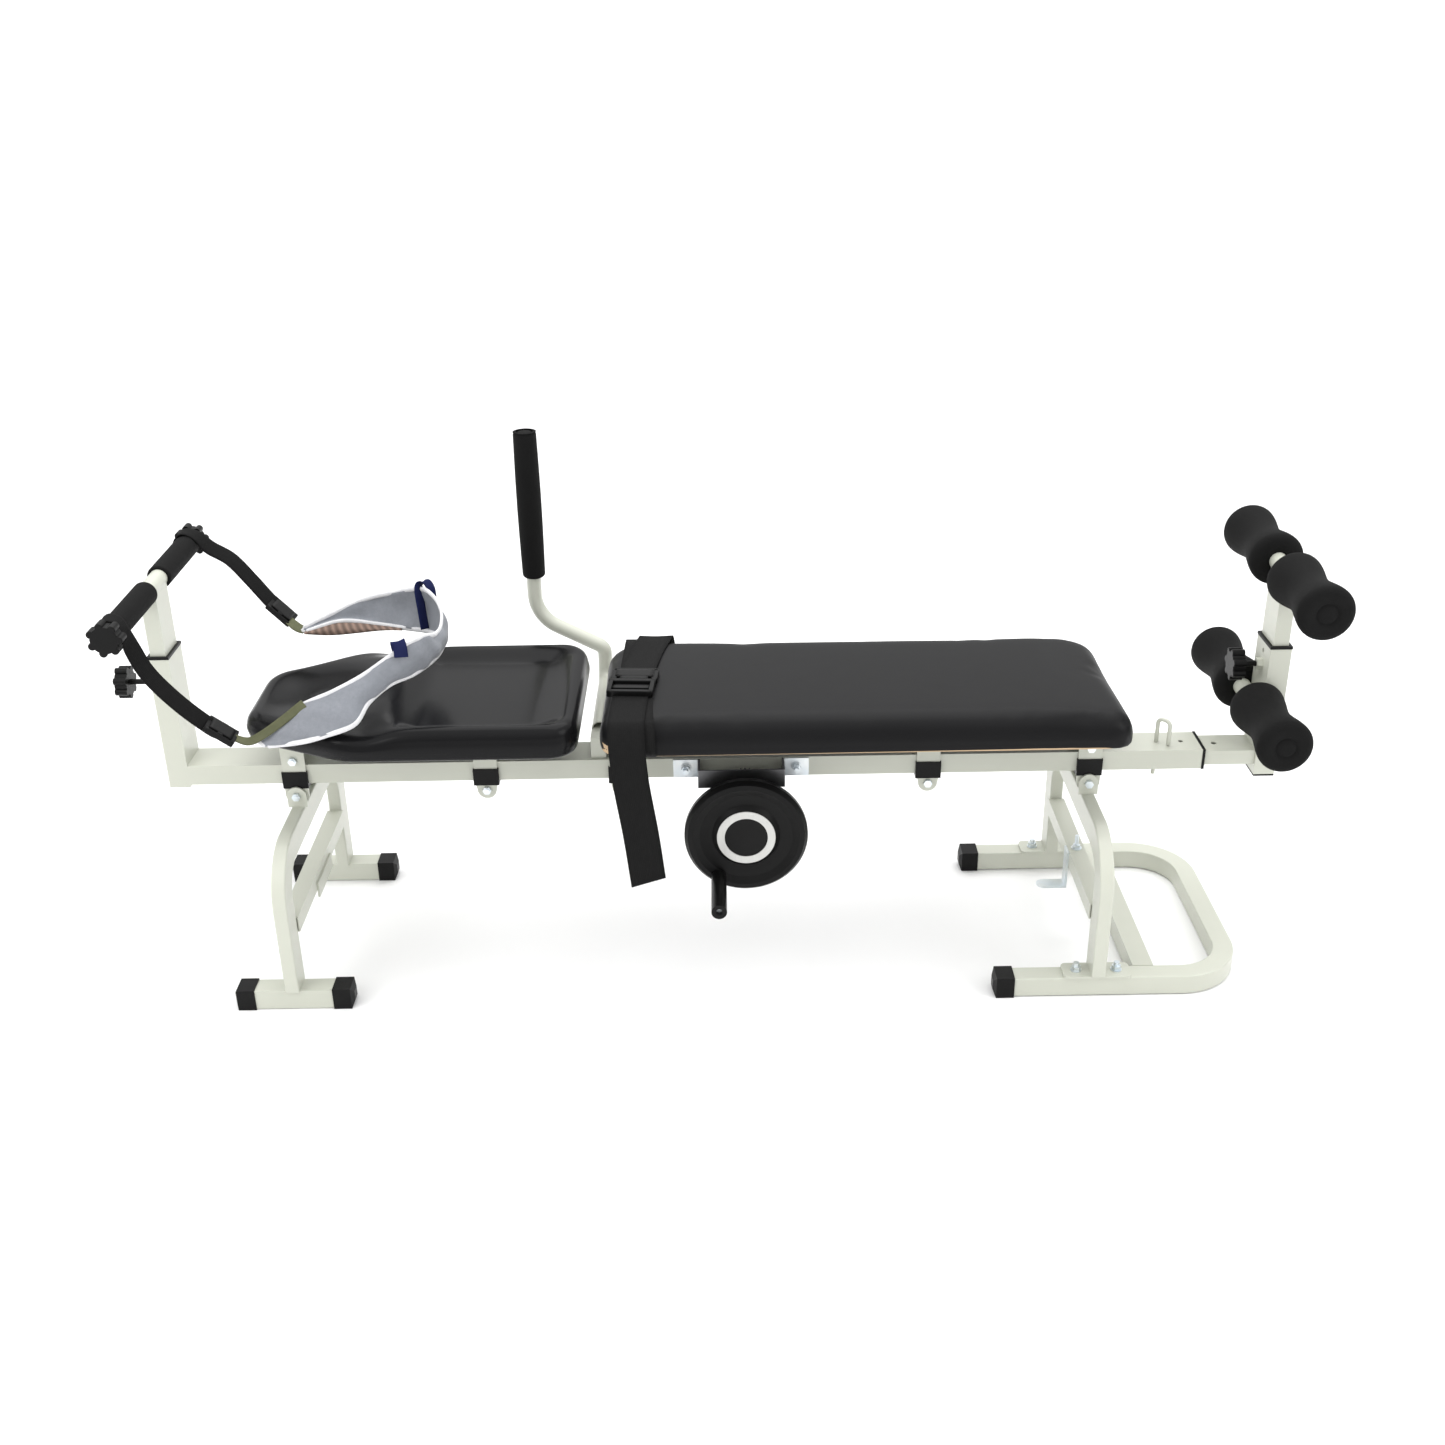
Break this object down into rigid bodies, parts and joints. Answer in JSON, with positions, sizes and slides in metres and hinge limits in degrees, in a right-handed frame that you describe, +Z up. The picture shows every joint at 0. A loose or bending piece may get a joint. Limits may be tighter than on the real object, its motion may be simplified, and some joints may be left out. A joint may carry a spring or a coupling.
{
  "type": "traction bench",
  "caption": "Padded steel traction bench on two folding legs, with a sliding leg pad driven by a hand wheel, ankle rollers, head grips and a head harness.",
  "frame": {"origin": "on the floor under the middle of the bench", "axes": "+X from the head end to the foot end, +Y away from the hand wheel, +Z up"},
  "size_m": [1.696, 0.4105, 0.7421],
  "materials": {
    "ivory_paint": "semi-gloss off-white powder coat, slightly green",
    "zinc_plate": "bright zinc plating with a bluish tint",
    "dark_steel": "dark oiled steel",
    "black_plastic": "moulded black plastic, fine grain",
    "black_foam": "matte closed-cell foam",
    "black_vinyl": "satin black upholstery vinyl",
    "plywood": "raw plywood board",
    "black_webbing": "woven polypropylene webbing",
    "grey_halter_cloth": "heather grey-blue knit with white binding",
    "silver_ring": "satin silver trim ring"
  },
  "bodies": {
    "frame": {"main_rail": "ivory_paint", "head_post": "ivory_paint", "frame_sleeves": "black_plastic", "rail_liners": "black_plastic", "frame_bolts": "zinc_plate", "head_leg_bracket": "ivory_paint", "foot_leg_bracket": "ivory_paint", "head_pad_bracket": "ivory_paint", "head_pad": "black_vinyl", "head_pad_board": "plywood", "gear_bracket": "zinc_plate", "gear_housing": "dark_steel", "grab_bar": "ivory_paint", "grab_bar_grip": "black_foam"},
    "carriage": {"carriage_brackets": "ivory_paint", "carriage_liners": "black_plastic", "carriage_bolts": "zinc_plate", "leg_pad": "black_vinyl", "leg_pad_board": "plywood", "waist_belt": "black_webbing", "belt_buckle": "black_plastic", "carriage_rack": "dark_steel"},
    "hand_wheel": {"hand_wheel": "black_plastic", "wheel_ring": "silver_ring", "wheel_shafts": "zinc_plate"},
    "crank_grip": {"crank_grip": "black_plastic"},
    "reduction_gear": {"reduction_gear": "dark_steel"},
    "head_leg": {"head_leg_hoop": "ivory_paint", "head_leg_crossbar": "ivory_paint", "head_floor_tubes": "ivory_paint", "head_floor_caps": "black_plastic"},
    "foot_leg": {"foot_leg_hoop": "ivory_paint", "foot_leg_crossbar": "ivory_paint", "foot_base": "ivory_paint", "foot_base_brace": "ivory_paint", "foot_base_caps": "black_plastic", "foot_leg_bolts": "zinc_plate", "fold_hook": "zinc_plate"},
    "head_bar": {"head_inner_post": "ivory_paint", "head_cross_bar": "ivory_paint", "head_grips": "black_foam", "harness_straps": "black_webbing", "harness_collar": "grey_halter_cloth", "harness_buckles": "black_plastic"},
    "harness_knob_near": {"harness_knob_near": "black_plastic"},
    "harness_knob_far": {"harness_knob_far": "black_plastic"},
    "head_post_knob": {"head_post_knob": "black_plastic"},
    "foot_slide": {"foot_inner_tube": "ivory_paint", "foot_post": "ivory_paint", "foot_post_plastics": "black_plastic", "lower_roller_bar": "ivory_paint"},
    "foot_bar": {"foot_inner_post": "ivory_paint", "upper_roller_bar": "ivory_paint"},
    "lower_roller_near": {"lower_roller_near": "black_foam"},
    "lower_roller_far": {"lower_roller_far": "black_foam"},
    "upper_roller_near": {"upper_roller_near": "black_foam"},
    "upper_roller_far": {"upper_roller_far": "black_foam"},
    "foot_post_knob": {"foot_post_knob": "black_plastic"},
    "hitch_pin": {"hitch_pin": "ivory_paint"}
  },
  "joints": [
    {"name": "hand_wheel_turn", "type": "hinge", "parent": "frame", "child": "hand_wheel", "pos_m": [0.05, -0.095, 0.222], "axis": [0, -1, 0], "range_deg": [0, 495]},
    {"name": "reduction_gear_turn", "type": "hinge", "parent": "frame", "child": "reduction_gear", "pos_m": [0.05, 0, 0.269], "axis": [0, -1, 0], "range_deg": [-170, 0]},
    {"name": "leg_pad_slide", "type": "slide", "parent": "frame", "child": "carriage", "axis": [1, 0, 0], "range_m": [0, 0.0563], "deforming": ["waist_belt"]},
    {"name": "crank_grip_spin", "type": "hinge", "parent": "hand_wheel", "child": "crank_grip", "pos_m": [0.0097, -0.15, 0.15994], "axis": [0, 1, 0], "continuous": true},
    {"name": "head_leg_fold", "type": "hinge", "parent": "frame", "child": "head_leg", "pos_m": [-0.605, 0, 0.266], "axis": [0, -1, 0], "range_deg": [0, 88]},
    {"name": "foot_leg_fold", "type": "hinge", "parent": "frame", "child": "foot_leg", "pos_m": [0.552, 0, 0.266], "axis": [0, 1, 0], "range_deg": [0, 75]},
    {"name": "head_post_slide", "type": "slide", "parent": "frame", "child": "head_bar", "axis": [0, 0, 1], "range_m": [-0.06, 0.08], "deforming": ["harness_straps", "harness_collar", "harness_buckles"]},
    {"name": "harness_knob_near_turn", "type": "hinge", "parent": "head_bar", "child": "harness_knob_near", "pos_m": [-0.775, -0.19, 0.583], "axis": [0, 1, 0], "continuous": true},
    {"name": "harness_knob_far_turn", "type": "hinge", "parent": "head_bar", "child": "harness_knob_far", "pos_m": [-0.775, 0.19, 0.583], "axis": [0, 1, 0], "continuous": true},
    {"name": "head_post_knob_turn", "type": "hinge", "parent": "frame", "child": "head_post_knob", "pos_m": [-0.826, 0, 0.436], "axis": [1, 0, 0], "continuous": true},
    {"name": "foot_tube_slide", "type": "slide", "parent": "frame", "child": "foot_slide", "axis": [1, 0, 0], "range_m": [-0.04, 0.12]},
    {"name": "hitch_pin_pull", "type": "slide", "parent": "frame", "child": "hitch_pin", "axis": [0, 0, 1], "range_m": [0, 0.055]},
    {"name": "foot_post_slide", "type": "slide", "parent": "foot_slide", "child": "foot_bar", "axis": [0, 0, 1], "range_m": [-0.06, 0.08]},
    {"name": "foot_post_knob_turn", "type": "hinge", "parent": "foot_slide", "child": "foot_post_knob", "pos_m": [0.771, 0, 0.436], "axis": [1, 0, 0], "continuous": true},
    {"name": "lower_roller_near_spin", "type": "hinge", "parent": "foot_slide", "child": "lower_roller_near", "pos_m": [0.7815, -0.104, 0.386], "axis": [0, 1, 0], "continuous": true},
    {"name": "lower_roller_far_spin", "type": "hinge", "parent": "foot_slide", "child": "lower_roller_far", "pos_m": [0.7815, 0.104, 0.386], "axis": [0, 1, 0], "continuous": true},
    {"name": "upper_roller_near_spin", "type": "hinge", "parent": "foot_bar", "child": "upper_roller_near", "pos_m": [0.809, -0.104, 0.58], "axis": [0, 1, 0], "continuous": true},
    {"name": "upper_roller_far_spin", "type": "hinge", "parent": "foot_bar", "child": "upper_roller_far", "pos_m": [0.809, 0.104, 0.58], "axis": [0, 1, 0], "continuous": true}
  ],
  "couplings": [
    {"joint": "reduction_gear_turn", "follows": "hand_wheel_turn", "ratio": -0.34286},
    {"joint": "leg_pad_slide", "follows": "hand_wheel_turn", "m_per_rad": 0.0065143}
  ]
}
